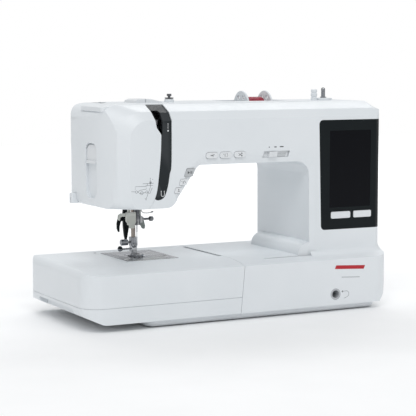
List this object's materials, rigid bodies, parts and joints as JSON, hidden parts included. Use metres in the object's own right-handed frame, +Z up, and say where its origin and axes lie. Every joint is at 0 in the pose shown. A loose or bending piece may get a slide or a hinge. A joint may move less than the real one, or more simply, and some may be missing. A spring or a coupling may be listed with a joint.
{
  "type": "embroidery machine",
  "caption": "Computerised free-arm sewing and embroidery machine with a slide-off extension table, portrait touch screen, spool bay, bobbin winder and carry handle.",
  "frame": {"origin": "centre of the machine footprint on the table it stands on", "axes": "+X along the arm towards the handwheel, -Y towards the operator, +Z up"},
  "size_m": [0.474, 0.2084, 0.3093],
  "materials": {
    "white_plastic": "smooth satin moulding",
    "pale_plastic": "fine texture",
    "grey_plastic": "satin",
    "ivory_plastic": "satin",
    "dark_plastic": "glossy",
    "charcoal_plastic": "satin",
    "screen_glass": "glossy black",
    "steel": "satin",
    "bright_steel": "polished",
    "cast_metal": "as cast",
    "rubber_black": "matte",
    "red_thread": "wound thread",
    "circuit_board": "lacquered",
    "clear_plastic": "frosted"
  },
  "bodies": {
    "chassis": {"base_tray": "white_plastic", "rubber_feet": "rubber_black", "front_cover": "white_plastic", "rear_cover": "white_plastic", "face_cover": "white_plastic", "top_cover": "white_plastic", "thread_slot_trim": "charcoal_plastic", "free_arm_cover": "white_plastic", "needle_plate": "steel", "screen_bezel": "dark_plastic", "display": "screen_glass", "main_board": "circuit_board", "frame_casting": "cast_metal", "thread_cutter": "white_plastic", "upper_thread_guide": "pale_plastic", "pretension_disc": "bright_steel", "spool_pin": "bright_steel", "bobbin_seat": "white_plastic", "bobbin_stopper": "white_plastic", "power_inlet": "charcoal_plastic", "knee_lifter_socket": "grey_plastic", "drive_belts": "rubber_black", "bobbin_case": "dark_plastic", "motor": "steel"},
    "extension_table": {"extension_table_shell": "white_plastic", "extension_table_tray": "white_plastic"},
    "bobbin_cover": {"bobbin_cover_plate": "clear_plastic"},
    "speed_slider": {"speed_slider_knob": "pale_plastic"},
    "pressure_slider": {"pressure_slider": "pale_plastic"},
    "take_up": {"take_up_lever": "bright_steel"},
    "spool": {"thread_spool": "red_thread"},
    "cap_left": {"spool_cap_left": "white_plastic"},
    "cap_right": {"spool_cap_right": "white_plastic"},
    "winder": {"bobbin_spindle": "steel"},
    "handle": {"carry_handle": "white_plastic"},
    "main_shaft": {"upper_shaft": "steel", "handwheel": "white_plastic"},
    "rod": {"connecting_rod": "cast_metal"},
    "bottom_shaft": {"lower_shaft": "steel"},
    "hook": {"hook": "bright_steel"},
    "bobbin": {"bobbin": "clear_plastic"},
    "motor_rotor": {"motor_pulley": "steel"},
    "feed": {"feed_dog": "steel"},
    "needle_bar": {"needle_bar": "bright_steel", "needle": "bright_steel"},
    "clamp_screw": {"clamp_screw": "dark_plastic"},
    "presser": {"presser_bar": "steel", "foot_holder": "steel", "presser_foot": "bright_steel"},
    "lifter": {"presser_lifter_lever": "dark_plastic"},
    "threader": {"needle_threader": "ivory_plastic"},
    "power_switch": {"power_switch": "charcoal_plastic"},
    "screen_button_left": {"screen_button_left": "pale_plastic"},
    "screen_button_right": {"screen_button_right": "pale_plastic"},
    "start_stop_button": {"start_stop_button": "grey_plastic"},
    "reverse_button": {"reverse_button": "pale_plastic"},
    "presser_lift_button": {"presser_lift_button": "pale_plastic"},
    "knot_button": {"knot_button": "pale_plastic"},
    "needle_position_button": {"needle_position_button": "pale_plastic"},
    "thread_cut_button": {"thread_cut_button": "pale_plastic"}
  },
  "joints": [
    {"name": "table_slide", "type": "slide", "parent": "chassis", "child": "extension_table", "axis": [-1, 0, 0], "range_m": [0, 0.15]},
    {"name": "bobbin_cover_lift", "type": "slide", "parent": "chassis", "child": "bobbin_cover", "axis": [0, 0, 1], "range_m": [0, 0.01]},
    {"name": "screen_button_left_press", "type": "slide", "parent": "chassis", "child": "screen_button_left", "axis": [0, 1, 0], "range_m": [0, 0.001], "stiffness_N_per_m": 400, "springref_m": -0.0005},
    {"name": "screen_button_right_press", "type": "slide", "parent": "chassis", "child": "screen_button_right", "axis": [0, 1, 0], "range_m": [0, 0.001], "stiffness_N_per_m": 400, "springref_m": -0.0005},
    {"name": "start_stop_button_press", "type": "slide", "parent": "chassis", "child": "start_stop_button", "axis": [0, 1, 0], "range_m": [0, 0.001], "stiffness_N_per_m": 400, "springref_m": -0.0005},
    {"name": "reverse_button_press", "type": "slide", "parent": "chassis", "child": "reverse_button", "axis": [0, 1, 0], "range_m": [0, 0.001], "stiffness_N_per_m": 400, "springref_m": -0.0005},
    {"name": "presser_lift_button_press", "type": "slide", "parent": "chassis", "child": "presser_lift_button", "axis": [0, 1, 0], "range_m": [0, 0.001], "stiffness_N_per_m": 400, "springref_m": -0.0005},
    {"name": "knot_button_press", "type": "slide", "parent": "chassis", "child": "knot_button", "axis": [0, 1, 0], "range_m": [0, 0.001], "stiffness_N_per_m": 400, "springref_m": -0.0005},
    {"name": "needle_position_button_press", "type": "slide", "parent": "chassis", "child": "needle_position_button", "axis": [0, 1, 0], "range_m": [0, 0.001], "stiffness_N_per_m": 400, "springref_m": -0.0005},
    {"name": "thread_cut_button_press", "type": "slide", "parent": "chassis", "child": "thread_cut_button", "axis": [0, 1, 0], "range_m": [0, 0.001], "stiffness_N_per_m": 400, "springref_m": -0.0005},
    {"name": "speed_slide", "type": "slide", "parent": "chassis", "child": "speed_slider", "axis": [1, 0, 0], "range_m": [-0.006, 0.019]},
    {"name": "pressure_slide", "type": "slide", "parent": "chassis", "child": "pressure_slider", "axis": [0, 0, 1], "range_m": [-0.043, 0.001]},
    {"name": "take_up_pivot", "type": "hinge", "parent": "chassis", "child": "take_up", "pos_m": [-0.119, -0.012, 0.225], "axis": [1, 0, 0], "range_deg": [0, 9]},
    {"name": "spool_spin", "type": "hinge", "parent": "chassis", "child": "spool", "pos_m": [0.08, 0.025, 0.2835], "axis": [1, 0, 0], "continuous": true},
    {"name": "cap_left_slide", "type": "slide", "parent": "chassis", "child": "cap_left", "axis": [-1, 0, 0], "range_m": [0, 0.03]},
    {"name": "cap_right_spin", "type": "hinge", "parent": "chassis", "child": "cap_right", "pos_m": [0.097, 0.025, 0.2835], "axis": [1, 0, 0], "continuous": true},
    {"name": "winder_spin", "type": "hinge", "parent": "chassis", "child": "winder", "pos_m": [0.1815, 0, 0.29], "axis": [0, 0, 1], "continuous": true},
    {"name": "handle_pivot", "type": "hinge", "parent": "chassis", "child": "handle", "pos_m": [0.088, 0.076, 0.276], "axis": [1, 0, 0], "range_deg": [0, 170]},
    {"name": "main_shaft_spin", "type": "hinge", "parent": "chassis", "child": "main_shaft", "pos_m": [0, 0.01, 0.235], "axis": [1, 0, 0], "continuous": true},
    {"name": "rod_swing", "type": "hinge", "parent": "main_shaft", "child": "rod", "pos_m": [-0.1, 0.01, 0.249], "axis": [1, 0, 0], "continuous": true},
    {"name": "bottom_shaft_spin", "type": "hinge", "parent": "chassis", "child": "bottom_shaft", "pos_m": [0, 0.0035, 0.044], "axis": [1, 0, 0], "continuous": true},
    {"name": "hook_spin", "type": "hinge", "parent": "chassis", "child": "hook", "pos_m": [-0.112, -0.013, 0.05], "axis": [0, 0, 1], "continuous": true},
    {"name": "bobbin_spin", "type": "hinge", "parent": "chassis", "child": "bobbin", "pos_m": [-0.112, -0.013, 0.06], "axis": [0, 0, 1], "continuous": true},
    {"name": "motor_spin", "type": "hinge", "parent": "chassis", "child": "motor_rotor", "pos_m": [0.2, 0.04, 0.11], "axis": [1, 0, 0], "continuous": true},
    {"name": "feed_travel", "type": "slide", "parent": "chassis", "child": "feed", "axis": [0, 1, 0], "range_m": [-0.0025, 0.0025]},
    {"name": "needle_bar_travel", "type": "slide", "parent": "chassis", "child": "needle_bar", "axis": [0, 0, 1], "range_m": [-0.028, 0]},
    {"name": "clamp_screw_turn", "type": "hinge", "parent": "needle_bar", "child": "clamp_screw", "pos_m": [-0.1, 0.01, 0.1315], "axis": [1, 0, 0], "range_deg": [0, 720]},
    {"name": "lifter_pivot", "type": "hinge", "parent": "chassis", "child": "lifter", "pos_m": [-0.113, 0.038, 0.163], "axis": [1, 0, 0], "range_deg": [0, 40]},
    {"name": "presser_lift", "type": "slide", "parent": "chassis", "child": "presser", "axis": [0, 0, 1], "range_m": [0, 0.006]},
    {"name": "threader_travel", "type": "slide", "parent": "chassis", "child": "threader", "axis": [0, 0, 1], "range_m": [-0.018, 0], "stiffness_N_per_m": 60, "springref_m": 0.006},
    {"name": "power_rocker", "type": "hinge", "parent": "chassis", "child": "power_switch", "pos_m": [0.2295, -0.03, 0.129], "axis": [0, 1, 0], "range_deg": [0, 12]}
  ],
  "couplings": [
    {"joint": "rod_swing", "follows": "main_shaft_spin", "ratio": -1},
    {"joint": "bottom_shaft_spin", "follows": "main_shaft_spin", "ratio": 1},
    {"joint": "hook_spin", "follows": "main_shaft_spin", "ratio": 2},
    {"joint": "motor_spin", "follows": "main_shaft_spin", "ratio": 4.3333},
    {"joint": "presser_lift", "follows": "lifter_pivot", "m_per_rad": 0.008594}
  ]
}
